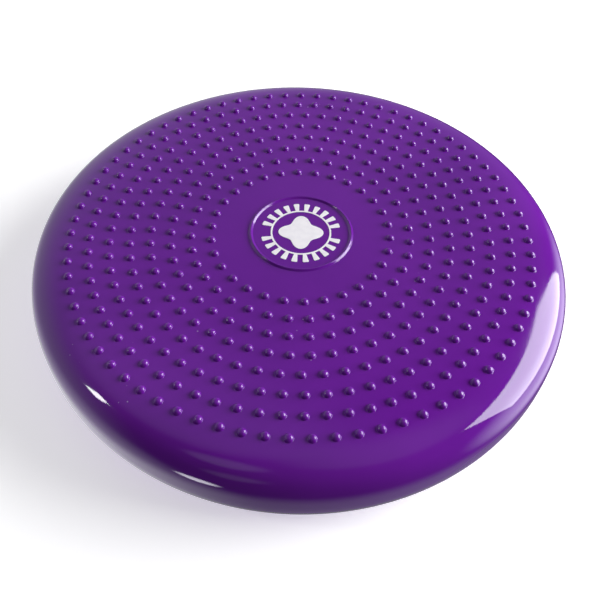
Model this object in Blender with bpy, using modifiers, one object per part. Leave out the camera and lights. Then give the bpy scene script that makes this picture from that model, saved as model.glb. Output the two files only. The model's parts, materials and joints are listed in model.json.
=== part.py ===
"""A round inflatable balance pad: an air-filled moulded bladder with massage nubs and a plug valve.

Metres, +Z up. The origin is on the pad's axis, on the plane that the underside rests on.
The bladder is one moulding on the real pad. Here its skin is cut into four zones that move
against each other as the air cushion gives: the top face, two side walls and the underside.
"""

import math

import bmesh
import bpy

# Driving dimensions
PAD_RADIUS = 0.165
WALL = 0.003
GAP = 0.0003
GRIP_HEIGHT = 0.004
LOWER_DEPTH = 0.0287
UPPER_RISE = 0.0253
EDGE_POWER = 14.0
CROWN_POWER = 2.8
SPLIT_RADIUS = 0.146
EDGE_RADII = (0.110, 0.128, 0.138)
RIM_STEPS = 6

# Small massage nubs on the top face, in rings
RING_FIRST = 0.0547
RING_STEP = 0.0122
RING_COUNTS = (30, 36, 43, 50, 56, 63, 70, 75)
RING_PHASES = (-2.6, -4.5, -1.4, 1.3, 1.6, -1.8, -0.4, 0.1)
NUB_RADIUS = 0.0029
NUB_TIP_RADIUS = 0.0013
NUB_HEIGHT = 0.0023
NUB_SIDES = 5

# Large grip nubs on the underside, in rings
GRIP_RING_FIRST = 0.045
GRIP_RING_STEP = 0.029
GRIP_RING_COUNT = 4
GRIP_PITCH = 0.030
GRIP_BASE_RADIUS = 0.0065
GRIP_TIP_RADIUS = 0.0035
GRIP_SIDES = 5

# Raised bead round the medallion, and the printed mark inside it
BEAD_RADIUS = 0.0308
BEAD_HALF_WIDTH = 0.0014
BEAD_HEIGHT = 0.0012
INK_THICKNESS = 0.0003
INK_RING_INNER = 0.0176
INK_RING_OUTER = 0.0186
INK_TICK_OUTER = 0.0246
INK_TICK_WIDTH = 0.0036
INK_TICKS = 22
INK_GAP_ANGLE = 8.0
ROSETTE_RADIUS = 0.0115
ROSETTE_LOBES = 4
ROSETTE_LOBE_SHARE = 0.2

# Plug valve at the centre of the underside
VALVE_HOLE_RADIUS = 0.0093
SEAT_RADIUS = 0.0090
SEAT_FLANGE_RADIUS = 0.0140
SEAT_FLANGE_THICKNESS = 0.0020
SEAT_TUBE_RADIUS = 0.0062
SEAT_LENGTH = 0.0160
BORE_RADIUS = 0.0033
SINK_RADIUS = 0.0074
SINK_DEPTH = 0.0020
PLUG_HEAD_RADIUS = 0.0070
PLUG_SHAFT_RADIUS = 0.0029
PLUG_LENGTH = 0.0120
PLUG_CHAMFER = 0.0015

TURN_STEPS = 60
SMALL_TURN_STEPS = 24
OUTLINE_STEPS = 48
SHARP_ANGLE = 35.0
MERGE = 0.00005

# Heights that follow from the driving dimensions
SKIN_BOTTOM = GRIP_HEIGHT
EQUATOR = SKIN_BOTTOM + LOWER_DEPTH
SKIN_TOP = EQUATOR + UPPER_RISE


def clear_scene():
    for obj in list(bpy.data.objects):
        bpy.data.objects.remove(obj, do_unlink=True)


def new_collection(name):
    collection = bpy.data.collections.new(name)
    bpy.context.scene.collection.children.link(collection)
    return collection


def principled(name, color, roughness):
    """A plain Principled material, not metallic."""
    material = bpy.data.materials.new(name)
    material.use_nodes = True
    shader = material.node_tree.nodes["Principled BSDF"]
    shader.inputs["Base Color"].default_value = (*color, 1.0)
    shader.inputs["Roughness"].default_value = roughness
    shader.inputs["Metallic"].default_value = 0.0
    return material


def skin_point(angle):
    """(radius, height) on the outer skin. The angle runs from 90 degrees at the top centre,
    through 0 at the widest point, to -90 degrees at the bottom centre."""
    depth = UPPER_RISE if angle >= 0.0 else LOWER_DEPTH
    radius = PAD_RADIUS * max(math.cos(angle), 0.0) ** (2.0 / EDGE_POWER)
    rise = depth * abs(math.sin(angle)) ** (2.0 / CROWN_POWER)
    return radius, EQUATOR + math.copysign(rise, angle)


def skin_normal(angle):
    """The outward unit normal (radial, up) of the outer skin at that angle."""
    radius, height = skin_point(angle)
    depth = UPPER_RISE if angle >= 0.0 else LOWER_DEPTH
    across = EDGE_POWER * (radius / PAD_RADIUS) ** (EDGE_POWER - 1.0) / PAD_RADIUS
    share = abs(height - EQUATOR) / depth
    up = math.copysign(CROWN_POWER * share ** (CROWN_POWER - 1.0) / depth, angle)
    length = math.hypot(across, up)
    return across / length, up / length


def skin_angle(radius, side):
    """The angle at which the skin has that radius: side is 1 for the top, -1 for the bottom."""
    return side * math.acos((radius / PAD_RADIUS) ** (EDGE_POWER / 2.0))


def skin_height(radius, side):
    return skin_point(skin_angle(radius, side))[1]


def inner_point(angle):
    """The point one wall thickness inside the outer skin."""
    radius, height = skin_point(angle)
    normal_radial, normal_up = skin_normal(angle)
    return radius - WALL * normal_radial, height - WALL * normal_up


def turned(name, outline, collection, material, closed, steps=TURN_STEPS):
    """A lathe solid. The outline runs down its outer side; a closed one is a ring's section."""
    bm = bmesh.new()
    points = [bm.verts.new((radius, 0.0, height)) for radius, height in outline]
    for first, second in zip(points, points[1:]):
        bm.edges.new((first, second))
    if closed:
        bm.edges.new((points[-1], points[0]))
    mesh = bpy.data.meshes.new(name)
    bm.to_mesh(mesh)
    bm.free()
    obj = bpy.data.objects.new(name, mesh)
    collection.objects.link(obj)
    screw = obj.modifiers.new("Screw", "SCREW")
    screw.axis = "Z"
    screw.steps = steps
    screw.render_steps = steps
    screw.use_merge_vertices = True
    screw.merge_threshold = MERGE
    screw.use_smooth_shade = True
    mesh.materials.append(material)
    return obj


def applied(obj):
    """Replaces the object's mesh with its evaluated one and drops its modifiers."""
    bpy.context.view_layer.update()
    graph = bpy.context.evaluated_depsgraph_get()
    mesh = bpy.data.meshes.new_from_object(obj.evaluated_get(graph))
    obj.modifiers.clear()
    obj.data = mesh
    return obj


def shade(obj):
    obj.data.shade_smooth()
    obj.data.set_sharp_from_angle(angle=math.radians(SHARP_ANGLE))


def add_boolean(obj, other, operation):
    boolean = obj.modifiers.new(operation.title(), "BOOLEAN")
    boolean.operation = operation
    boolean.solver = "EXACT"
    boolean.object = other
    boolean.use_self = False


def as_helper(obj, collection):
    """A tool body for a Boolean: it is never a part of the pad."""
    collection.objects.link(obj)
    obj.hide_render = True
    obj.display_type = "WIRE"


def cones(name, places, sides, base, tip, collection):
    """One helper mesh of separate cones. Each place is (radius, turn, root height, tip height);
    a cone points from its root height to its tip height."""
    bm = bmesh.new()
    for radius, turn, root, end in places:
        made = bmesh.ops.create_cone(
            bm, cap_ends=True, segments=sides, radius1=base, radius2=tip, depth=abs(end - root)
        )
        flip = math.pi if end < root else 0.0
        for vertex in made["verts"]:
            x, y, z = vertex.co
            x, z = x * math.cos(flip) + z * math.sin(flip), z * math.cos(flip)
            x += radius
            vertex.co = (
                x * math.cos(turn) - y * math.sin(turn),
                x * math.sin(turn) + y * math.cos(turn),
                z + (root + end) / 2.0,
            )
    mesh = bpy.data.meshes.new(name)
    bm.to_mesh(mesh)
    bm.free()
    obj = bpy.data.objects.new(name, mesh)
    as_helper(obj, collection)
    return obj


def nub_places():
    """The small nubs, spaced evenly round every ring and about as far apart in all of them."""
    places = []
    for index, (count, phase) in enumerate(zip(RING_COUNTS, RING_PHASES)):
        radius = RING_FIRST + index * RING_STEP
        root = skin_height(radius, 1) - NUB_HEIGHT / 4.0
        tip = skin_height(radius, 1) + NUB_HEIGHT
        for step in range(count):
            turn = math.radians(phase) + 2.0 * math.pi * step / count
            places.append((radius, turn, root, tip))
    return places


def grip_places():
    """The large grip nubs: their flat tips are what the pad stands on."""
    places = []
    for index in range(GRIP_RING_COUNT):
        radius = GRIP_RING_FIRST + index * GRIP_RING_STEP
        count = round(2.0 * math.pi * radius / GRIP_PITCH)
        root = skin_height(radius, -1) + WALL / 2.0
        tip = skin_height(radius, -1) - GRIP_HEIGHT
        for step in range(count):
            places.append((radius, 2.0 * math.pi * step / count, root, tip))
    return places


def top_face(parts, helpers, material):
    """The face that is stood on: a shallow crowned skin with its bead, joined to its nubs."""
    crown = [(0.0, SKIN_TOP)]
    crown.append((BEAD_RADIUS - BEAD_HALF_WIDTH, SKIN_TOP))
    crown.append((BEAD_RADIUS - BEAD_HALF_WIDTH / 2.0, SKIN_TOP + BEAD_HEIGHT))
    crown.append((BEAD_RADIUS + BEAD_HALF_WIDTH / 2.0, SKIN_TOP + BEAD_HEIGHT))
    crown.append((BEAD_RADIUS + BEAD_HALF_WIDTH, SKIN_TOP))
    edge = [skin_angle(radius, 1) for radius in (*EDGE_RADII, SPLIT_RADIUS - GAP)]
    outer = crown + [skin_point(angle) for angle in edge]
    inner = [inner_point(angle) for angle in reversed(edge)] + [(0.0, SKIN_TOP - WALL)]
    face = turned("top_face", outer + inner, parts, material, closed=False)
    nubs = cones(
        "nub_tools", nub_places(), NUB_SIDES, NUB_RADIUS, NUB_TIP_RADIUS, helpers
    )
    add_boolean(face, nubs, "UNION")
    shade(applied(face))
    return face


def side_wall(name, side, parts, material):
    """One half of the rounded rim: side is 1 above the widest line, -1 below it."""
    depth = UPPER_RISE if side > 0 else LOWER_DEPTH
    near_equator = math.asin((GAP / 2.0 / depth) ** (CROWN_POWER / 2.0))
    far = abs(skin_angle(SPLIT_RADIUS, side))
    stride = (far - near_equator) / RIM_STEPS
    angles = [side * (near_equator + stride * step) for step in range(RIM_STEPS + 1)]
    downwards = sorted(angles, reverse=True)
    outer = [skin_point(angle) for angle in downwards]
    inner = [inner_point(angle) for angle in reversed(downwards)]
    wall = turned(name, outer + inner, parts, material, closed=True)
    shade(applied(wall))
    return wall


def underside(parts, helpers, material):
    """The face that the pad stands on, with its grip nubs and the hole for the valve."""
    radii = (SPLIT_RADIUS - GAP, *reversed(EDGE_RADII))
    edge = [skin_angle(radius, -1) for radius in radii]
    outer = [skin_point(angle) for angle in edge] + [(VALVE_HOLE_RADIUS, SKIN_BOTTOM)]
    inner = [(VALVE_HOLE_RADIUS, SKIN_BOTTOM + WALL)]
    inner += [inner_point(angle) for angle in reversed(edge)]
    face = turned("underside", outer + inner, parts, material, closed=True)
    grips = cones(
        "grip_tools", grip_places(), GRIP_SIDES, GRIP_BASE_RADIUS, GRIP_TIP_RADIUS, helpers
    )
    add_boolean(face, grips, "UNION")
    shade(applied(face))
    return face


def valve_seat(parts, material):
    """The soft insert bonded in the underside: a flange inside the skin and a bored tube."""
    shelf = SKIN_BOTTOM + WALL + GAP
    top = SKIN_BOTTOM + SEAT_LENGTH
    outline = [
        (SEAT_TUBE_RADIUS, top),
        (SEAT_TUBE_RADIUS, shelf + SEAT_FLANGE_THICKNESS),
        (SEAT_FLANGE_RADIUS, shelf + SEAT_FLANGE_THICKNESS),
        (SEAT_FLANGE_RADIUS, shelf),
        (SEAT_RADIUS, shelf),
        (SEAT_RADIUS, SKIN_BOTTOM),
        (SINK_RADIUS, SKIN_BOTTOM),
        (SINK_RADIUS, SKIN_BOTTOM + SINK_DEPTH),
        (BORE_RADIUS, SKIN_BOTTOM + SINK_DEPTH),
        (BORE_RADIUS, top),
    ]
    seat = turned("valve_seat", outline, parts, material, True, SMALL_TURN_STEPS)
    shade(applied(seat))


def valve_plug(parts, material):
    """The stopper that closes the bore. Its head lies flush in the seat's sink."""
    head_top = SKIN_BOTTOM + SINK_DEPTH - GAP
    tip = head_top + PLUG_LENGTH
    outline = [
        (0.0, tip),
        (PLUG_SHAFT_RADIUS - PLUG_CHAMFER, tip),
        (PLUG_SHAFT_RADIUS, tip - PLUG_CHAMFER),
        (PLUG_SHAFT_RADIUS, head_top),
        (PLUG_HEAD_RADIUS, head_top),
        (PLUG_HEAD_RADIUS, SKIN_BOTTOM),
        (0.0, SKIN_BOTTOM),
    ]
    plug = turned("valve_plug", outline, parts, material, False, SMALL_TURN_STEPS)
    shade(applied(plug))


def flat_print(name, outlines, parts, material):
    """A film of ink with the given outlines, lying just above the medallion's floor."""
    curve = bpy.data.curves.new(name, "CURVE")
    curve.dimensions = "2D"
    curve.fill_mode = "BOTH"
    curve.extrude = INK_THICKNESS / 2.0
    for outline in outlines:
        spline = curve.splines.new("POLY")
        spline.points.add(len(outline) - 1)
        for point, (radius, turn) in zip(spline.points, outline):
            point.co = (radius * math.cos(turn), radius * math.sin(turn), 0.0, 1.0)
        spline.use_cyclic_u = True
    curve.materials.append(material)
    obj = bpy.data.objects.new(name, curve)
    obj.location = (0.0, 0.0, SKIN_TOP + GAP + INK_THICKNESS / 2.0)
    parts.objects.link(obj)
    return obj


def ink_ring_outline():
    """The mark's ring, with ticks outside it in an upper and a lower arc."""
    outline = []
    half_turn = 0.5 * INK_TICK_WIDTH / INK_TICK_OUTER
    for index in range(INK_TICKS):
        turn = 2.0 * math.pi * index / INK_TICKS
        if abs(math.sin(turn)) < math.sin(math.radians(INK_GAP_ANGLE)):
            outline.append((INK_RING_OUTER, turn))
            continue
        outline.append((INK_RING_OUTER, turn - half_turn))
        outline.append((INK_TICK_OUTER, turn - half_turn))
        outline.append((INK_TICK_OUTER, turn + half_turn))
        outline.append((INK_RING_OUTER, turn + half_turn))
    return outline


def emblem(parts, material):
    """A plain printed mark: a ticked ring round a four-lobed rosette."""
    turns = [2.0 * math.pi * index / OUTLINE_STEPS for index in range(OUTLINE_STEPS)]
    inner = [(INK_RING_INNER, turn) for turn in turns]
    lobes = []
    for turn in turns:
        swell = 1.0 + ROSETTE_LOBE_SHARE * math.cos(ROSETTE_LOBES * turn)
        lobes.append((ROSETTE_RADIUS * swell, turn))
    flat_print("emblem_ring", [ink_ring_outline(), inner], parts, material)
    flat_print("emblem_centre", [lobes], parts, material)


def main():
    clear_scene()
    parts = new_collection("balance_pad")
    helpers = new_collection("tool_bodies")
    skin = principled("violet_pvc", (0.105, 0.018, 0.270), 0.28)
    ink = principled("white_ink", (0.85, 0.84, 0.86), 0.45)
    insert = principled("soft_pvc_insert", (0.085, 0.016, 0.220), 0.45)
    stopper = principled("white_pvc_stopper", (0.80, 0.80, 0.80), 0.40)
    top_face(parts, helpers, skin)
    side_wall("upper_side_wall", 1, parts, skin)
    side_wall("lower_side_wall", -1, parts, skin)
    underside(parts, helpers, skin)
    valve_seat(parts, insert)
    valve_plug(parts, stopper)
    emblem(parts, ink)


main()
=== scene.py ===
"""The looks of a round inflatable balance pad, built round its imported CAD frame.

Everything is in metres in the CAD's own frame: +Z up, the pad's axis at x = y = 0 and the
plane it stands on at z = 0.
"""

import json
import math

import bmesh
import bpy
import numpy as np
from mathutils import Matrix, Vector
from mathutils.geometry import delaunay_2d_cdt


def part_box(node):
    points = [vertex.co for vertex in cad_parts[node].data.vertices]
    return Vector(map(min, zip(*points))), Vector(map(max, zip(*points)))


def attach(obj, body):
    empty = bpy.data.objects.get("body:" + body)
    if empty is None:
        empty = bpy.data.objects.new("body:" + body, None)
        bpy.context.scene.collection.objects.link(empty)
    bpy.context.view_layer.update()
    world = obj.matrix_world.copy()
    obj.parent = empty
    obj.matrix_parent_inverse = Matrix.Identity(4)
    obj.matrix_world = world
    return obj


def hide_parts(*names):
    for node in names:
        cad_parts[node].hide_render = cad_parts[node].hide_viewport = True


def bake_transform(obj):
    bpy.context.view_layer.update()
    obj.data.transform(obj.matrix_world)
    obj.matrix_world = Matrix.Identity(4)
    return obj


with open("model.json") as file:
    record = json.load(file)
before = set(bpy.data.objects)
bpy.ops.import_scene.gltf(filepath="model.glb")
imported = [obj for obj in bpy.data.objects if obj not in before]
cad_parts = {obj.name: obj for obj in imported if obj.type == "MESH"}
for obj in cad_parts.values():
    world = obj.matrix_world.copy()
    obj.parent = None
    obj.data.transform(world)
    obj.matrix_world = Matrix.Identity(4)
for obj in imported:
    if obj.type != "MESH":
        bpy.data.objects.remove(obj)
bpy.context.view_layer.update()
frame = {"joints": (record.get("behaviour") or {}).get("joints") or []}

# ---------------------------------------------------------------- sizes from the frame
JOINTS = {joint["name"]: joint for joint in frame["joints"]}

GAP = 0.0003
PAD_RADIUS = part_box("upper_side_wall")[1].x
EQUATOR = JOINTS["tilt_fore_aft"]["pos_m"][2]
SKIN_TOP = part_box("emblem_ring")[0].z - GAP
SKIN_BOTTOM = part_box("valve_seat")[0].z
UPPER_RISE = SKIN_TOP - EQUATOR
LOWER_DEPTH = EQUATOR - SKIN_BOTTOM

# ---------------------------------------------------------------- the bladder
EDGE_POWER = 14.0
CROWN_POWER = 2.8
WALL = 0.003
SPLIT_RADIUS = 0.146
BAND_SHARES = (0.37, 0.37, 0.26)
BAND_ROWS = 20
ROUND_STEPS = 384

# Massage nubs on the top face. Phases are in degrees.
RING_FIRST = 0.0547
RING_STEP = 0.0122
RING_COUNTS = (30, 36, 43, 50, 56, 63, 70, 75)
RING_PHASES = (-2.6, -4.5, -1.4, 1.3, 1.6, -1.8, -0.4, 0.1)
NUB_RADIUS = 0.00245
NUB_FILLET = 0.0005
NUB_HEIGHT = 0.0022
NUB_STEPS = 20
NUB_ROWS = 7

# Grip nubs on the underside
GRIP_RING_FIRST = 0.045
GRIP_RING_STEP = 0.029
GRIP_RING_COUNT = 4
GRIP_PITCH = 0.030
GRIP_RADIUS = 0.0055
GRIP_FILLET = 0.0012
GRIP_HEIGHT = SKIN_BOTTOM
GRIP_FLAT = 0.45
GRIP_STEPS = 32
GRIP_ROWS = 10

# Rings of points that carry the skin's own curve
INNER_RINGS_TOP = (0.015, 0.04, 0.048)
INNER_RINGS_BOTTOM = (0.015, 0.03)
EDGE_RINGS = (0.1335, 0.1365, 0.1385, 0.1405, 0.1425, 0.1440, 0.1452)
INSIDE_RINGS = (0.05, 0.09, 0.12, 0.13, 0.138)
CLEAR_OF_STUDS = 0.0004

# The bead round the medallion, and the print inside it
BEAD_RADIUS = 0.0308
BEAD_HALF_WIDTH = 0.0015
BEAD_HEIGHT = 0.0013
BEAD_POWER = 1.4
BEAD_ROWS = 13
INK_RING_INNER = 0.0176
INK_RING_OUTER = 0.0186
INK_TICK_OUTER = 0.0246
INK_TICK_WIDTH = 0.0036
INK_TICKS = 22
INK_CORNER = 0.0007
INK_LIFT = 0.0001
ROSETTE_RADIUS = 0.0115

# The valve in the underside
VALVE_HOLE_RADIUS = 0.0093
VALVE_HOLE_STEPS = 96
SEAT_TUBE_RADIUS = 0.0062
SEAT_FLANGE_THICKNESS = 0.002
SEAT_RADIUS = 0.0090
SINK_RADIUS = 0.0074
SINK_DEPTH = 0.002
BORE_RADIUS = 0.0033
PLUG_SHAFT_RADIUS = 0.0029


# ---------------------------------------------------------------- the skin's outline
def skin_point(angle):
    """(radius, height) on the outer skin, from 90 degrees at the top to -90 at the bottom."""
    depth = UPPER_RISE if angle >= 0.0 else LOWER_DEPTH
    radius = PAD_RADIUS * max(math.cos(angle), 0.0) ** (2.0 / EDGE_POWER)
    rise = depth * abs(math.sin(angle)) ** (2.0 / CROWN_POWER)
    return radius, EQUATOR + math.copysign(rise, angle)


def skin_normal(angle):
    """The outward unit normal (radial, up) there."""
    radius, height = skin_point(angle)
    depth = UPPER_RISE if angle >= 0.0 else LOWER_DEPTH
    across = EDGE_POWER * (radius / PAD_RADIUS) ** (EDGE_POWER - 1.0) / PAD_RADIUS
    share = abs(height - EQUATOR) / depth
    up = math.copysign(CROWN_POWER * share ** (CROWN_POWER - 1.0) / depth, angle)
    length = math.hypot(across, up)
    return across / length, up / length


def angle_at_radius(radius, side):
    """The outline's angle where it has that radius: side is 1 above the widest line, else -1."""
    return side * math.acos((radius / PAD_RADIUS) ** (EDGE_POWER / 2.0))


def angle_at_height(height):
    """The outline's angle at that height."""
    side = 1.0 if height >= EQUATOR else -1.0
    depth = UPPER_RISE if side > 0 else LOWER_DEPTH
    return side * math.asin(min(abs(height - EQUATOR) / depth, 1.0) ** (CROWN_POWER / 2.0))


def face_height(radius, side):
    """Height of the plain skin over that radius: side 1 is the top face, -1 the underside."""
    share = np.clip(1.0 - (radius / PAD_RADIUS) ** EDGE_POWER, 0.0, 1.0)
    depth = UPPER_RISE if side > 0 else LOWER_DEPTH
    return EQUATOR + side * depth * share ** (1.0 / CROWN_POWER)


# ---------------------------------------------------------------- mesh helpers
def mesh_object(name, points, faces, normals):
    """A smooth object with its own normals, one for each point."""
    mesh = bpy.data.meshes.new(name)
    mesh.from_pydata([tuple(point) for point in points], [], faces)
    mesh.update()
    mesh.shade_smooth()
    mesh.normals_split_custom_set_from_vertices([tuple(normal) for normal in normals])
    obj = bpy.data.objects.new(name, mesh)
    bpy.context.scene.collection.objects.link(obj)
    return obj


def circle(radius, steps, phase=0.0):
    """Flat points evenly round a circle."""
    turns = phase + np.arange(steps) * 2.0 * math.pi / steps
    return np.stack([radius * np.cos(turns), radius * np.sin(turns)], axis=1)


def loop_edges(start, count):
    return [(start + index, start + (index + 1) % count) for index in range(count)]


def triangulated(points, loops, hole_loops):
    """Triangles over flat points. Triangles that lie inside a hole's loop are left out."""
    edges = []
    owner = np.full(len(points), -1)
    for index, (start, count) in enumerate(loops):
        edges += loop_edges(start, count)
        if index in hole_loops:
            owner[start : start + count] = index
    made = delaunay_2d_cdt([Vector(point) for point in points], edges, [], 1, 1e-9)
    source = [origin[0] for origin in made[3]]
    faces = []
    for face in made[2]:
        corners = [source[corner] for corner in face]
        holders = {owner[corner] for corner in corners}
        if len(holders) == 1 and -1 not in holders:
            continue
        faces.append(corners)
    return faces


# ---------------------------------------------------------------- studs on the faces
def ring_places(first, step, counts, phases):
    """Centres of the studs, spaced evenly round every ring."""
    places = []
    for index, (count, phase) in enumerate(zip(counts, phases)):
        places.append(circle(first + index * step, count, math.radians(phase)))
    return np.concatenate(places)


def stud_profile(radius, fillet, height, flat, rows):
    """Distances from the stud's centre, outside first, and the heights there: a small fillet
    at the foot, then a dome whose tip is flat over the share flat of its radius."""
    foot = radius + fillet
    low = []
    for turn in np.linspace(0.0, 0.5 * math.pi, 4)[:-1]:
        low.append((foot - fillet * math.sin(turn), 0.35 * fillet * (1.0 - math.cos(turn))))
    start = low[-1][1]
    turns = np.linspace(0.12, 0.5 * math.pi, rows)
    span = radius * (1.0 - flat)
    dome = [
        (radius * flat + span * math.cos(turn), start + (height - start) * math.sin(turn) ** 0.9)
        for turn in turns
    ]
    tip = [(0.0, height)] if flat > 0.0 else []
    return np.array(low + dome + tip)


def profile_slopes(profile):
    """Slope of the stud's height against distance at every row of its profile."""
    slopes = np.gradient(profile[:, 1], profile[:, 0])
    slopes[0] = 0.0
    slopes[-1] = 0.0
    return slopes


def studded_face(name, side, places, profile, stud_steps, rings, inner_radius):
    """One face of the bladder as a closed shell: the moulded outside with its studs, the wall's
    cut edge, and the inside. rings is a list of (radius, extra height, slope, steps)."""
    stud_count = len(places)
    foot = profile[0, 0]
    edge_angle = angle_at_radius(SPLIT_RADIUS, side)
    flat = []
    extra = []
    slope = []
    loops = []
    holes = set()

    def add(points, height, lean):
        start = sum(len(block) for block in flat)
        flat.append(points)
        extra.append(np.full(len(points), height))
        slope.append(np.full(len(points), lean))
        return start

    loops.append((add(circle(SPLIT_RADIUS, ROUND_STEPS), 0.0, 0.0), ROUND_STEPS))
    if inner_radius > 0.0:
        holes.add(len(loops))
        rim = circle(inner_radius, VALVE_HOLE_STEPS)
        loops.append((add(rim, 0.0, 0.0), VALVE_HOLE_STEPS))
    else:
        add(np.zeros((1, 2)), 0.0, 0.0)
    for place in places:
        holes.add(len(loops))
        loops.append((add(place + circle(foot, stud_steps), 0.0, 0.0), stud_steps))
    stud_start = loops[-stud_count][0]
    for radius, height, lean, steps in rings:
        points = circle(radius, steps, 0.5 * math.pi / steps)
        near = np.min(np.linalg.norm(points[:, None, :] - places[None, :, :], axis=2), axis=1)
        add(points[near > foot + CLEAR_OF_STUDS], height, lean)
    flat = np.concatenate(flat)
    extra = np.concatenate(extra)
    slope = np.concatenate(slope)
    faces = triangulated(flat, loops, holes)

    # The studs' own rows, inside their foot loops
    rows = len(profile)
    slopes = profile_slopes(profile)
    stud_xy = []
    stud_extra = []
    stud_lean = []
    first_new = len(flat)
    unit = circle(1.0, stud_steps)
    for index, place in enumerate(places):
        outer = stud_start + index * stud_steps
        for row in range(1, rows - 1):
            stud_xy.append(place + unit * profile[row, 0])
            stud_extra.append(np.full(stud_steps, profile[row, 1]))
            stud_lean.append(-unit * slopes[row])
            inner = first_new + (index * (rows - 2) + row - 1) * stud_steps
            for step in range(stud_steps):
                after = (step + 1) % stud_steps
                faces.append((outer + step, outer + after, inner + after, inner + step))
            outer = inner
        tip = first_new + stud_count * (rows - 2) * stud_steps + index
        for step in range(stud_steps):
            faces.append((outer + step, outer + (step + 1) % stud_steps, tip))
    stud_xy.append(places)
    stud_extra.append(np.full(stud_count, profile[-1, 1]))
    stud_lean.append(np.zeros((stud_count, 2)))

    points_xy = np.concatenate([flat] + stud_xy)
    lift = np.concatenate([extra] + stud_extra)
    radii = np.hypot(points_xy[:, 0], points_xy[:, 1])
    outward = points_xy / np.maximum(radii, 1e-9)[:, None]
    base = face_height(radii, side)
    heights = base + side * lift
    step = 1e-6
    fall = side * (face_height(radii + step, side) - face_height(radii, side)) / step
    ring_lean = np.concatenate([slope, np.zeros(len(points_xy) - len(slope))])
    lean = -(fall + ring_lean)[:, None] * outward
    lean[len(flat) :] += np.concatenate(stud_lean)
    normals = np.column_stack([lean, np.full(len(lean), 1.0)])
    normals[:, 2] *= side
    normals /= np.linalg.norm(normals, axis=1)[:, None]
    points = np.column_stack([points_xy, heights])

    # The inside of the wall, and the cut edges that join it to the outside
    inner_xy = [circle(edge_inner(edge_angle)[0], ROUND_STEPS)]
    inner_loops = [(0, ROUND_STEPS)]
    inner_holes = set()
    if inner_radius > 0.0:
        inner_holes.add(1)
        inner_loops.append((ROUND_STEPS, VALVE_HOLE_STEPS))
        inner_xy.append(circle(inner_radius, VALVE_HOLE_STEPS))
    else:
        inner_xy.append(np.zeros((1, 2)))
    for radius in INSIDE_RINGS:
        inner_xy.append(circle(radius, 72))
    inner_xy = np.concatenate(inner_xy)
    inner_faces = triangulated(inner_xy, inner_loops, inner_holes)
    inner_radii = np.hypot(inner_xy[:, 0], inner_xy[:, 1])
    inner_z = face_height(np.minimum(inner_radii, SPLIT_RADIUS), side) - side * WALL
    inner_z[:ROUND_STEPS] = edge_inner(edge_angle)[1]
    offset = len(points)
    points = np.concatenate([points, np.column_stack([inner_xy, inner_z])])
    normals = np.concatenate([normals, np.tile((0.0, 0.0, -float(side)), (len(inner_xy), 1))])
    faces = [tuple(face) for face in faces]
    faces += [tuple(offset + corner for corner in reversed(face)) for face in inner_faces]
    faces += bridge(0, offset, ROUND_STEPS, True)
    if inner_radius > 0.0:
        faces += bridge(ROUND_STEPS, offset + ROUND_STEPS, VALVE_HOLE_STEPS, False)
    if side < 0:
        faces = [tuple(reversed(face)) for face in faces]
    return mesh_object(name, points, faces, normals)


def edge_inner(angle):
    """The wall's inner point at an angle of the outline."""
    radius, height = skin_point(angle)
    across, up = skin_normal(angle)
    return radius - WALL * across, height - WALL * up


def bridge(first, second, count, outer):
    """A strip of faces between two loops of count points each."""
    faces = []
    for step in range(count):
        after = (step + 1) % count
        strip = (first + after, first + step, second + step, second + after)
        faces.append(strip if outer else tuple(reversed(strip)))
    return faces


# ---------------------------------------------------------------- the rim
def rim_band(name, low_height, high_height):
    """A closed ring of the rounded rim between two heights: outside, inside and cut edges."""
    rows = BAND_ROWS
    low, high = angle_at_height(low_height), angle_at_height(high_height)
    angles = [low + (high - low) * row / (rows - 1) for row in range(rows)]
    ring = circle(1.0, ROUND_STEPS)
    points = []
    normals = []
    for angle in angles:
        radius, height = skin_point(angle)
        across, up = skin_normal(angle)
        points.append(np.column_stack([ring * radius, np.full(ROUND_STEPS, height)]))
        normals.append(np.column_stack([ring * across, np.full(ROUND_STEPS, up)]))
    for angle in angles:
        radius, height = edge_inner(angle)
        across, up = skin_normal(angle)
        points.append(np.column_stack([ring * radius, np.full(ROUND_STEPS, height)]))
        normals.append(np.column_stack([-ring * across, np.full(ROUND_STEPS, -up)]))
    faces = []
    for row in range(rows - 1):
        faces += bridge((row + 1) * ROUND_STEPS, row * ROUND_STEPS, ROUND_STEPS, True)
        inner = (rows + row) * ROUND_STEPS
        faces += bridge(inner + ROUND_STEPS, inner, ROUND_STEPS, False)
    faces += bridge(0, rows * ROUND_STEPS, ROUND_STEPS, True)
    top, top_inner = (rows - 1) * ROUND_STEPS, (2 * rows - 1) * ROUND_STEPS
    faces += bridge(top, top_inner, ROUND_STEPS, False)
    return mesh_object(name, np.concatenate(points), faces, np.concatenate(normals))


def make_rim():
    """Three bands of the rim, one across each of the joints between the underside and the top. They
    are not tied to the bodies on either side.
    """
    low = skin_point(angle_at_radius(SPLIT_RADIUS, -1))[1]
    high = skin_point(angle_at_radius(SPLIT_RADIUS, 1))[1]
    first = low + (high - low) * BAND_SHARES[0]
    second = first + (high - low) * BAND_SHARES[1]
    plan = (
        ("rim_lower", low, first, "base", "lower_rim", ["lower_side_wall"]),
        ("rim_middle", first, second, "lower_rim", "upper_rim", []),
        ("rim_upper", second, high, "upper_rim", "top", ["upper_side_wall"]),
    )
    made = []
    for name, bottom, top, below, above, nodes in plan:
        band = rim_band(name, bottom, top)
        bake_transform(band)
        if nodes:
            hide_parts(*nodes)
        made.append(band)
    return made


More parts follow.
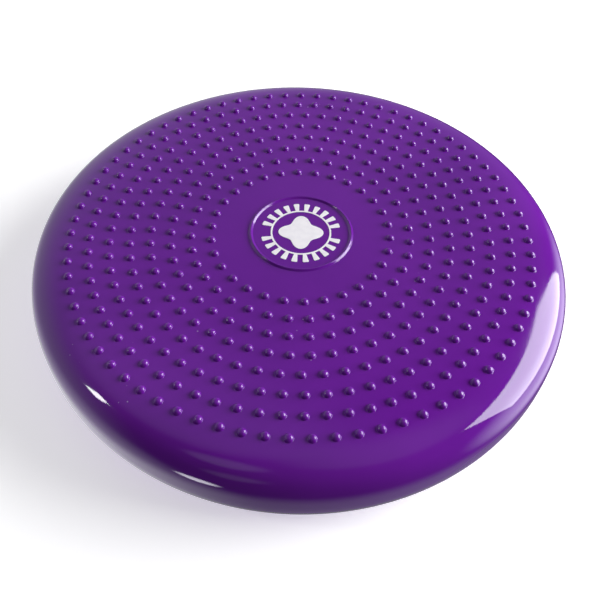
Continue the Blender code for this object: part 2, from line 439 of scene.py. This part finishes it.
# ---------------------------------------------------------------- the two faces
def bead_rings():
    """The raised bead round the medallion, as rings (radius, height, slope, steps)."""
    rings = []
    for index in range(BEAD_ROWS):
        share = -1.0 + 2.0 * index / (BEAD_ROWS - 1)
        across = share * math.pi / 2.0
        radius = BEAD_RADIUS + share * BEAD_HALF_WIDTH
        height = BEAD_HEIGHT * math.cos(across) ** BEAD_POWER
        lean = 0.0
        if 0 < index < BEAD_ROWS - 1:
            lean = -BEAD_HEIGHT * BEAD_POWER * math.cos(across) ** (BEAD_POWER - 1.0)
            lean *= math.sin(across) * math.pi / 2.0 / BEAD_HALF_WIDTH
        rings.append((radius, height, lean, 240))
    return rings


def plain_rings(first, step, count, inner):
    """Rings inside, between and outside the rings of studs, as (radius, 0, 0, steps)."""
    made = [(radius, 0.0, 0.0, 120) for radius in inner]
    made += [(first + (index + 0.5) * step, 0.0, 0.0, 240) for index in range(count - 1)]
    made += [(radius, 0.0, 0.0, 360) for radius in EDGE_RINGS]
    return made


def make_top():
    """The face that is stood on, with its nubs and bead."""
    places = ring_places(RING_FIRST, RING_STEP, RING_COUNTS, RING_PHASES)
    profile = stud_profile(NUB_RADIUS, NUB_FILLET, NUB_HEIGHT, 0.0, NUB_ROWS)
    rings = bead_rings()
    rings += plain_rings(RING_FIRST, RING_STEP, len(RING_COUNTS), INNER_RINGS_TOP)
    top = studded_face("top_skin", 1, places, profile, NUB_STEPS, rings, 0.0)
    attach(top, "top")
    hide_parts("top_face")
    return top


def make_underside():
    """The face on the floor, with its grip nubs and the hole for the valve."""
    radii = [GRIP_RING_FIRST + index * GRIP_RING_STEP for index in range(GRIP_RING_COUNT)]
    counts = [round(2.0 * math.pi * radius / GRIP_PITCH) for radius in radii]
    places = ring_places(GRIP_RING_FIRST, GRIP_RING_STEP, counts, [0.0] * GRIP_RING_COUNT)
    profile = stud_profile(GRIP_RADIUS, GRIP_FILLET, GRIP_HEIGHT, GRIP_FLAT, GRIP_ROWS)
    rings = plain_rings(GRIP_RING_FIRST, GRIP_RING_STEP, GRIP_RING_COUNT, INNER_RINGS_BOTTOM)
    under = studded_face(
        "underside_skin", -1, places, profile, GRIP_STEPS, rings, VALVE_HOLE_RADIUS
    )
    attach(under, "base")
    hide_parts("underside")
    return under


# ---------------------------------------------------------------- the printed emblem
def ink_film(name, outlines, node):
    """A film of ink with softened edges, lying on the medallion."""
    curve = bpy.data.curves.new(name, "CURVE")
    curve.dimensions = "2D"
    curve.fill_mode = "BOTH"
    curve.extrude = 0.00004
    curve.bevel_depth = 0.00005
    curve.bevel_resolution = 1
    for outline in outlines:
        spline = curve.splines.new("POLY")
        spline.points.add(len(outline) - 1)
        for point, (radius, turn) in zip(spline.points, outline):
            point.co = (radius * math.cos(turn), radius * math.sin(turn), 0.0, 1.0)
        spline.use_cyclic_u = True
    shape = bpy.data.objects.new(name + "_outline", curve)
    bpy.context.scene.collection.objects.link(shape)
    bpy.context.view_layer.update()
    graph = bpy.context.evaluated_depsgraph_get()
    mesh = bpy.data.meshes.new_from_object(shape.evaluated_get(graph))
    bpy.data.objects.remove(shape)
    for vertex in mesh.vertices:
        vertex.co.z += SKIN_TOP + INK_LIFT
    film = bpy.data.objects.new(name, mesh)
    bpy.context.scene.collection.objects.link(film)
    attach(film, "top")
    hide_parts(node)
    return film


def tick(turn):
    """The outline of one tick of the ring, with rounded outer corners."""
    half = INK_TICK_WIDTH / 2.0
    root = half * INK_RING_OUTER / INK_TICK_OUTER
    centre = INK_TICK_OUTER - INK_CORNER
    points = [(INK_RING_OUTER, -root)]
    swings = (0.0, 22.5, 45.0, 67.5, 90.0)
    for side, order in ((-1.0, swings), (1.0, swings[::-1])):
        for degrees in order:
            swing = math.radians(degrees)
            aside = side * (half - INK_CORNER + INK_CORNER * math.cos(swing))
            points.append((centre + INK_CORNER * math.sin(swing), aside))
    points.append((INK_RING_OUTER, root))
    return [(radius, turn + aside / INK_TICK_OUTER) for radius, aside in points]


def make_emblem():
    """A ring with wide ticks in an upper and a lower arc, round a four-lobed rosette."""
    ring = []
    for index in range(INK_TICKS):
        turn = 2.0 * math.pi * index / INK_TICKS
        if abs(math.sin(turn)) > 0.14:
            ring += tick(turn)
        next_turn = turn + math.pi / INK_TICKS
        ring += [(INK_RING_OUTER, next_turn + step * 0.02) for step in (-2, -1, 0, 1, 2)]
    turns = [2.0 * math.pi * index / 180 for index in range(180)]
    inner = [(INK_RING_INNER, turn) for turn in turns]
    lobes = [(ROSETTE_RADIUS * (1.0 + 0.2 * math.cos(4.0 * turn)), turn) for turn in turns]
    return [
        ink_film("printed_ring", [ring, inner], "emblem_ring"),
        ink_film("printed_rosette", [lobes], "emblem_centre"),
    ]


# ---------------------------------------------------------------- the valve
def rounded_outline(corners, radius, steps):
    """A closed outline with its corners rounded: (distance from the axis, height) pairs."""
    made = []
    count = len(corners)
    for index in range(count):
        before = Vector(corners[index - 1])
        here = Vector(corners[index])
        after = Vector(corners[(index + 1) % count])
        if here.x == 0.0:
            made.append(tuple(here))
            continue
        reach_before = min(radius, (before - here).length * 0.45)
        reach_after = min(radius, (after - here).length * 0.45)
        first = here + (before - here).normalized() * reach_before
        last = here + (after - here).normalized() * reach_after
        for step in range(steps + 1):
            share = step / steps
            point = first * (1 - share) ** 2 + here * 2 * share * (1 - share) + last * share**2
            made.append(tuple(point))
    return made


def lathe(name, outline):
    """A turned body from an outline that runs down its outer side. An end on the axis closes it."""
    steps = VALVE_HOLE_STEPS
    bm = bmesh.new()
    rings = []
    for radius, height in outline:
        if radius < 1e-7:
            rings.append([bm.verts.new((0.0, 0.0, height))])
            continue
        ring = []
        for step in range(steps):
            turn = 2.0 * math.pi * step / steps
            ring.append(bm.verts.new((radius * math.cos(turn), radius * math.sin(turn), height)))
        rings.append(ring)
    pairs = list(zip(rings, rings[1:]))
    if len(rings[0]) > 1:
        pairs.append((rings[-1], rings[0]))
    for upper, lower in pairs:
        for step in range(steps):
            after = (step + 1) % steps
            if len(upper) == 1:
                bm.faces.new((upper[0], lower[step], lower[after]))
            elif len(lower) == 1:
                bm.faces.new((upper[after], upper[step], lower[0]))
            else:
                bm.faces.new((upper[after], upper[step], lower[step], lower[after]))
    bmesh.ops.recalc_face_normals(bm, faces=bm.faces)
    mesh = bpy.data.meshes.new(name)
    bm.to_mesh(mesh)
    bm.free()
    mesh.shade_smooth()
    obj = bpy.data.objects.new(name, mesh)
    bpy.context.scene.collection.objects.link(obj)
    return obj


def make_valve():
    """The soft insert and its pull-out stopper, turned finely where the CAD ones are faceted."""
    seat_low, seat_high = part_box("valve_seat")
    plug_low, plug_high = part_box("valve_plug")
    shelf = SKIN_BOTTOM + WALL + GAP
    corners = [
        (SEAT_TUBE_RADIUS, seat_high.z),
        (SEAT_TUBE_RADIUS, shelf + SEAT_FLANGE_THICKNESS),
        (seat_high.x, shelf + SEAT_FLANGE_THICKNESS),
        (seat_high.x, shelf),
        (SEAT_RADIUS, shelf),
        (SEAT_RADIUS, seat_low.z),
        (SINK_RADIUS, seat_low.z),
        (SINK_RADIUS, seat_low.z + SINK_DEPTH),
        (BORE_RADIUS, seat_low.z + SINK_DEPTH),
        (BORE_RADIUS, seat_high.z),
    ]
    seat = lathe("valve_insert", rounded_outline(corners, 0.0005, 4))
    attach(seat, "base")
    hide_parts("valve_seat")

    head = plug_high.x
    head_top = seat_low.z + SINK_DEPTH - GAP
    shaft = PLUG_SHAFT_RADIUS
    corners = [
        (0.0, plug_high.z),
        (shaft - 0.0013, plug_high.z),
        (shaft, plug_high.z - 0.0018),
        (shaft, head_top + 0.0062),
        (shaft + 0.0003, head_top + 0.0055),
        (shaft, head_top + 0.0048),
        (shaft, head_top),
        (head, head_top),
        (head, plug_low.z),
        (head - 0.0014, plug_low.z),
        (head - 0.0019, plug_low.z + 0.0006),
        (head - 0.0040, plug_low.z + 0.0006),
        (head - 0.0045, plug_low.z),
        (0.0, plug_low.z),
    ]
    plug = lathe("valve_stopper", rounded_outline(corners, 0.0004, 4))
    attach(plug, "stopper")
    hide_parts("valve_plug")
    return seat, plug


# ---------------------------------------------------------------- materials
def new_material(name):
    """A material with its node tree and its Principled shader."""
    material = bpy.data.materials.new(name)
    material.use_nodes = True
    tree = material.node_tree
    return material, tree, tree.nodes["Principled BSDF"]


def noise(tree, place, scale, detail=2.0):
    """The value of a noise texture over those coordinates."""
    node = tree.nodes.new("ShaderNodeTexNoise")
    node.inputs["Scale"].default_value = scale
    node.inputs["Detail"].default_value = detail
    tree.links.new(place, node.inputs["Vector"])
    return node.outputs["Fac"]


def ranged(tree, value, before, after, smooth=False):
    """The value mapped from the range before to the range after, and held at its ends."""
    node = tree.nodes.new("ShaderNodeMapRange")
    node.interpolation_type = "SMOOTHSTEP" if smooth else "LINEAR"
    node.inputs["From Min"].default_value, node.inputs["From Max"].default_value = before
    node.inputs["To Min"].default_value, node.inputs["To Max"].default_value = after
    tree.links.new(value, node.inputs["Value"])
    return node.outputs["Result"]


def combined(tree, operation, first, second):
    """A Math node over two outputs, or over an output and a number."""
    node = tree.nodes.new("ShaderNodeMath")
    node.operation = operation
    tree.links.new(first, node.inputs[0])
    if isinstance(second, float):
        node.inputs[1].default_value = second
    else:
        tree.links.new(second, node.inputs[1])
    return node.outputs[0]


def two_tone(tree, value, low, high):
    """A ramp between two colours. low and high are each a (position, colour)."""
    ramp = tree.nodes.new("ShaderNodeValToRGB")
    for element, (position, color) in zip(ramp.color_ramp.elements, (low, high)):
        element.position = position
        element.color = (*color, 1.0)
    tree.links.new(value, ramp.inputs["Fac"])
    return ramp.outputs["Color"]


def bumped(tree, height, strength, distance, below=None):
    """A normal bumped by that height, on top of the normal below it."""
    node = tree.nodes.new("ShaderNodeBump")
    node.inputs["Strength"].default_value = strength
    node.inputs["Distance"].default_value = distance
    tree.links.new(height, node.inputs["Height"])
    if below is not None:
        tree.links.new(below, node.inputs["Normal"])
    return node.outputs["Normal"]


def violet_pvc():
    """Glossy soft PVC: mirror-smooth on the rim and satin over the studded faces."""
    material, tree, shader = new_material("violet_pvc")
    nodes, links = tree.nodes, tree.links
    shader.inputs["IOR"].default_value = 1.5
    shader.inputs["Coat Weight"].default_value = 0.0
    place = nodes.new("ShaderNodeTexCoord").outputs["Object"]

    # Distance from the pad's axis
    flatten = nodes.new("ShaderNodeVectorMath")
    flatten.operation = "MULTIPLY"
    flatten.inputs[1].default_value = (1.0, 1.0, 0.0)
    links.new(place, flatten.inputs[0])
    length = nodes.new("ShaderNodeVectorMath")
    length.operation = "LENGTH"
    links.new(flatten.outputs[0], length.inputs[0])

    # Colour: slow mottling, and a few pale specks of dust
    deep = (0.3, (0.108, 0.0080, 0.240))
    light = (0.7, (0.132, 0.0105, 0.282))
    mottled = two_tone(tree, noise(tree, place, 14.0, 4.0), deep, light)
    dust = nodes.new("ShaderNodeTexVoronoi")
    dust.inputs["Scale"].default_value = 210.0
    dust.inputs["Randomness"].default_value = 1.0
    links.new(place, dust.inputs["Vector"])
    size = ranged(tree, noise(tree, place, 26.0), (0.57, 0.70), (0.0, 0.085))
    speck = combined(tree, "LESS_THAN", dust.outputs["Distance"], size)
    mix = nodes.new("ShaderNodeMix")
    mix.data_type = "RGBA"
    mix.inputs["B"].default_value = (0.55, 0.45, 0.62, 1.0)
    links.new(combined(tree, "MULTIPLY", speck, 0.55), mix.inputs["Factor"])
    links.new(mottled, mix.inputs["A"])
    links.new(mix.outputs["Result"], shader.inputs["Base Color"])

    # Roughness: satin faces, a mirror-like rim, and slow smears
    rim_range = (SPLIT_RADIUS, SPLIT_RADIUS + 0.005)
    region = ranged(tree, length.outputs["Value"], rim_range, (0.12, 0.055), smooth=True)
    smear = ranged(tree, noise(tree, place, 40.0, 6.0), (0.0, 1.0), (0.75, 1.25))
    links.new(combined(tree, "MULTIPLY", region, smear), shader.inputs["Roughness"])

    # Bump: the slight unevenness of a soft moulding, and a fine grain
    wave = bumped(tree, noise(tree, place, 9.0), 0.25, 0.0012)
    grain = bumped(tree, noise(tree, place, 900.0), 0.04, 0.0002, wave)
    links.new(grain, shader.inputs["Normal"])
    return material


def simple_material(name, color, darker, roughness, scale):
    """A matt plastic or ink whose tone and roughness wander a little."""
    material, tree, shader = new_material(name)
    place = tree.nodes.new("ShaderNodeTexCoord").outputs["Object"]
    value = noise(tree, place, scale, 5.0)
    tone = two_tone(tree, value, (0.35, darker), (0.6, color))
    tree.links.new(tone, shader.inputs["Base Color"])
    rough = ranged(tree, value, (0.0, 1.0), (roughness * 0.8, roughness * 1.2))
    tree.links.new(rough, shader.inputs["Roughness"])
    tree.links.new(bumped(tree, value, 0.1, 0.0001), shader.inputs["Normal"])
    return material


# ---------------------------------------------------------------- the set
# Glows of the room: azimuth, elevation, full within this angle, gone beyond this one, radiance.
# All angles are in degrees. Azimuth 0 is +Y, behind the pad, and 90 is +X.
ROOM_GLOWS = (
    (-60.0, -12.0, 20.0, 75.0, 0.8),
    (82.0, -8.0, 12.0, 42.0, 3.0),
    (-100.0, -40.0, 10.0, 45.0, 0.45),
    (-146.0, -36.0, 3.0, 8.0, 7.0),
    (0.0, 20.0, 15.0, 45.0, 0.30),
    (0.0, -90.0, 20.0, 50.0, 0.30),
    (-150.0, 54.0, 6.0, 13.0, 0.50),
    (-161.0, 14.0, 4.0, 13.0, 0.35),
    (-50.0, 70.0, 12.0, 28.0, 0.30),
    (112.0, 70.0, 10.0, 26.0, 0.30),
)
ROOM_RADIANCE = 0.04
FLOOR_BOUNCE = 0.9

# Windows: name, azimuth, elevation, angle across, angle up and down, radiance
WINDOWS = (
    ("window_right", 81.5, 25.0, 47.0, 42.0, 9.4),
    ("window_left", -100.0, 37.5, 5.0, 9.0, 22.0),
)
WINDOW_DISTANCE = 2.0

# The floor's own glow, and the distances between which it fades to plain white
FLOOR_SIZE = 12.0
FLOOR_GLOW = 0.45
FLOOR_NEAR = 0.30
FLOOR_FAR = 0.75

# The camera: lens and sensor in millimetres, elevation and roll in degrees, the rest in radians
LENS = 43.12
SENSOR = 36.0
CAMERA_ELEVATION = 45.99
CAMERA_DISTANCE = 0.4432
CAMERA_ROLL = 1.91
CAMERA_PITCH = -0.0940
CAMERA_YAW = 0.0013


def make_floor():
    """A pale floor that takes a soft shadow near the pad and turns plain white further out."""
    bpy.ops.mesh.primitive_plane_add(size=FLOOR_SIZE, location=(0.0, 0.0, 0.0))
    floor = bpy.context.object
    floor.name = "floor"
    material, tree, shader = new_material("pale_floor")
    nodes, links = tree.nodes, tree.links
    shader.inputs["Base Color"].default_value = (0.86, 0.86, 0.86, 1.0)
    shader.inputs["Roughness"].default_value = 0.7
    shader.inputs["Emission Color"].default_value = (1.0, 1.0, 1.0, 1.0)
    shader.inputs["Emission Strength"].default_value = FLOOR_GLOW
    length = nodes.new("ShaderNodeVectorMath")
    length.operation = "LENGTH"
    links.new(nodes.new("ShaderNodeTexCoord").outputs["Object"], length.inputs[0])
    spread = (FLOOR_NEAR, FLOOR_FAR)
    fade = ranged(tree, length.outputs["Value"], spread, (0.0, 1.0), smooth=True)
    white = nodes.new("ShaderNodeEmission")
    mix = nodes.new("ShaderNodeMixShader")
    links.new(fade, mix.inputs["Fac"])
    links.new(shader.outputs["BSDF"], mix.inputs[1])
    links.new(white.outputs["Emission"], mix.inputs[2])
    links.new(mix.outputs["Shader"], nodes["Material Output"].inputs["Surface"])
    floor.data.materials.append(material)
    floor.visible_glossy = False
    floor.visible_diffuse = False


def direction(azimuth, elevation):
    """A unit vector. Azimuth 0 is +Y, behind the pad, and 90 is +X."""
    turn, tilt = math.radians(azimuth), math.radians(elevation)
    return Vector(
        (math.sin(turn) * math.cos(tilt), math.cos(turn) * math.cos(tilt), math.sin(tilt))
    )


def area_light(name, azimuth, elevation, distance, size, power):
    """A softbox aimed at the pad, which the camera itself doesn't see."""
    light = bpy.data.lights.new(name, "AREA")
    light.shape = "RECTANGLE"
    light.size, light.size_y = size
    light.energy = power
    obj = bpy.data.objects.new(name, light)
    away = direction(azimuth, elevation)
    obj.location = Vector((0.0, 0.0, EQUATOR)) + away * distance
    obj.rotation_mode = "QUATERNION"
    obj.rotation_quaternion = away.to_track_quat("Z", "Y")
    obj.visible_camera = False
    bpy.context.scene.collection.objects.link(obj)


def make_world():
    """White to the camera. In reflections it is a dim room with a brighter side and a lit table."""
    world = bpy.data.worlds.new("studio")
    bpy.context.scene.world = world
    world.use_nodes = True
    tree = world.node_tree
    nodes, links = tree.nodes, tree.links
    toward = nodes.new("ShaderNodeTexCoord").outputs["Generated"]

    def along(vector):
        node = nodes.new("ShaderNodeVectorMath")
        node.operation = "DOT_PRODUCT"
        node.inputs[1].default_value = vector
        links.new(toward, node.inputs[0])
        return node.outputs["Value"]

    glows = []
    for azimuth, elevation, inner, outer, radiance in ROOM_GLOWS:
        cosines = (math.cos(math.radians(outer)), math.cos(math.radians(inner)))
        aim = along(direction(azimuth, elevation))
        glows.append(ranged(tree, aim, cosines, (0.0, radiance), smooth=True))
    total = glows[0]
    for glow in glows[1:]:
        total = combined(tree, "ADD", total, glow)
    total = combined(tree, "ADD", total, ROOM_RADIANCE)

    # Light that the floor would bounce up, for matt surfaces only
    path = nodes.new("ShaderNodeLightPath")
    downward = along((0.0, 0.0, -FLOOR_BOUNCE))
    bounce = combined(tree, "MULTIPLY", downward, path.outputs["Is Diffuse Ray"])
    bounce.node.use_clamp = True
    room = nodes["Background"]
    room.inputs["Color"].default_value = (0.94, 0.93, 1.0, 1.0)
    links.new(combined(tree, "ADD", total, bounce), room.inputs["Strength"])

    sweep = nodes.new("ShaderNodeBackground")
    sweep.inputs["Color"].default_value = (1.0, 1.0, 1.0, 1.0)
    mix = nodes.new("ShaderNodeMixShader")
    links.new(path.outputs["Is Camera Ray"], mix.inputs["Fac"])
    links.new(room.outputs["Background"], mix.inputs[1])
    links.new(sweep.outputs["Background"], mix.inputs[2])
    links.new(mix.outputs["Shader"], nodes["World Output"].inputs["Surface"])


def make_lights():
    """A large window on the right and a small one on the left."""
    for name, azimuth, elevation, across, tall, radiance in WINDOWS:
        size = (
            2.0 * WINDOW_DISTANCE * math.tan(math.radians(across) / 2.0),
            2.0 * WINDOW_DISTANCE * math.tan(math.radians(tall) / 2.0),
        )
        power = radiance * math.pi * size[0] * size[1]
        area_light(name, azimuth, elevation, WINDOW_DISTANCE, size, power)


def make_camera():
    """Looks down at the pad from the front, with the lens and lean of a close hand-held shot."""
    camera = bpy.data.cameras.new("camera")
    camera.lens = LENS
    camera.sensor_width = SENSOR
    obj = bpy.data.objects.new("camera", camera)
    elevation = math.radians(CAMERA_ELEVATION)
    back = Vector((0.0, -math.cos(elevation), math.sin(elevation)))
    turn = Matrix.Rotation(math.radians(90.0) - elevation, 3, "X")
    turn = turn @ Matrix.Rotation(math.radians(CAMERA_ROLL), 3, "Z")
    turn = turn @ Matrix.Rotation(CAMERA_PITCH, 3, "X") @ Matrix.Rotation(CAMERA_YAW, 3, "Y")
    place = Vector((0.0, 0.0, SKIN_TOP)) + back * CAMERA_DISTANCE
    obj.matrix_world = Matrix.Translation(place) @ turn.to_4x4()
    bpy.context.scene.collection.objects.link(obj)
    bpy.context.scene.camera = obj


# ---------------------------------------------------------------- everything together
make_camera()
make_floor()
make_world()
make_lights()
bpy.context.scene.view_settings.view_transform = "Standard"

pvc = violet_pvc()
for piece in make_rim() + [make_top(), make_underside()]:
    piece.data.materials.append(pvc)
ink = simple_material("white_ink", (0.86, 0.84, 0.87), (0.81, 0.79, 0.83), 0.42, 260.0)
for piece in make_emblem():
    piece.data.materials.append(ink)
seat, plug = make_valve()
seat.data.materials.append(
    simple_material("soft_violet_pvc", (0.085, 0.010, 0.190), (0.065, 0.008, 0.150), 0.42, 120.0)
)
plug.data.materials.append(
    simple_material("milky_pvc", (0.80, 0.79, 0.77), (0.72, 0.71, 0.69), 0.35, 120.0)
)
